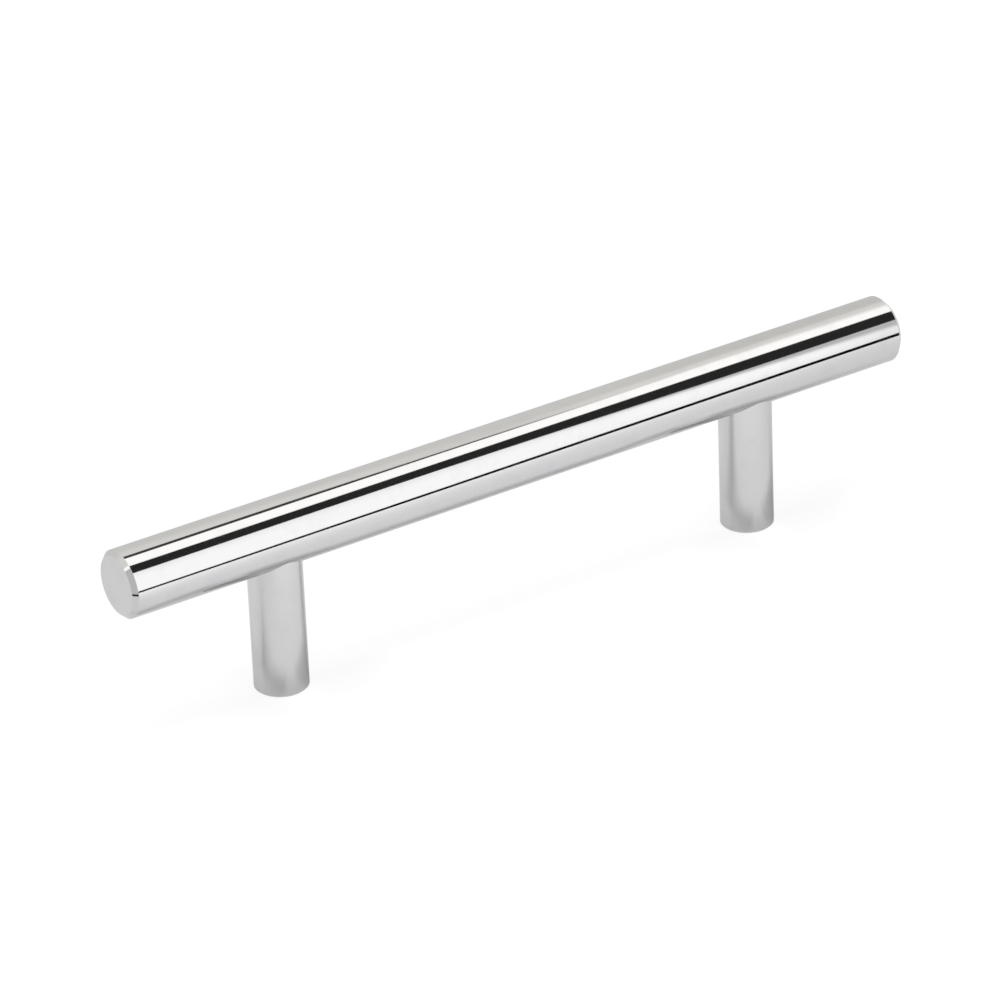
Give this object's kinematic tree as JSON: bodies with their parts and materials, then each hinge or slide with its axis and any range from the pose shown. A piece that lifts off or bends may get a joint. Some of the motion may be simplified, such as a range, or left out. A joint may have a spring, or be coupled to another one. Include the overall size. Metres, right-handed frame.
{
  "type": "t bar cabinet pull",
  "caption": "Straight round bar with chamfered ends, held off a door or drawer front by slim round posts, each tapped at its foot for a fixing screw.",
  "frame": {"origin": "on the mounting plane, midway between the posts' axes", "axes": "+X along the bar, +Z away from the door or drawer front, +Y across the bar"},
  "size_m": [0.156, 0.012, 0.035],
  "materials": {
    "polished_chrome": "steel polished to a mirror and chrome plated",
    "black_oxide_steel": "hardened steel with a matt black oxide finish"
  },
  "bodies": {
    "root": {"grip_bar": "polished_chrome", "post_left": "polished_chrome", "post_right": "polished_chrome", "set_screw_left": "black_oxide_steel", "set_screw_right": "black_oxide_steel"}
  },
  "joints": []
}
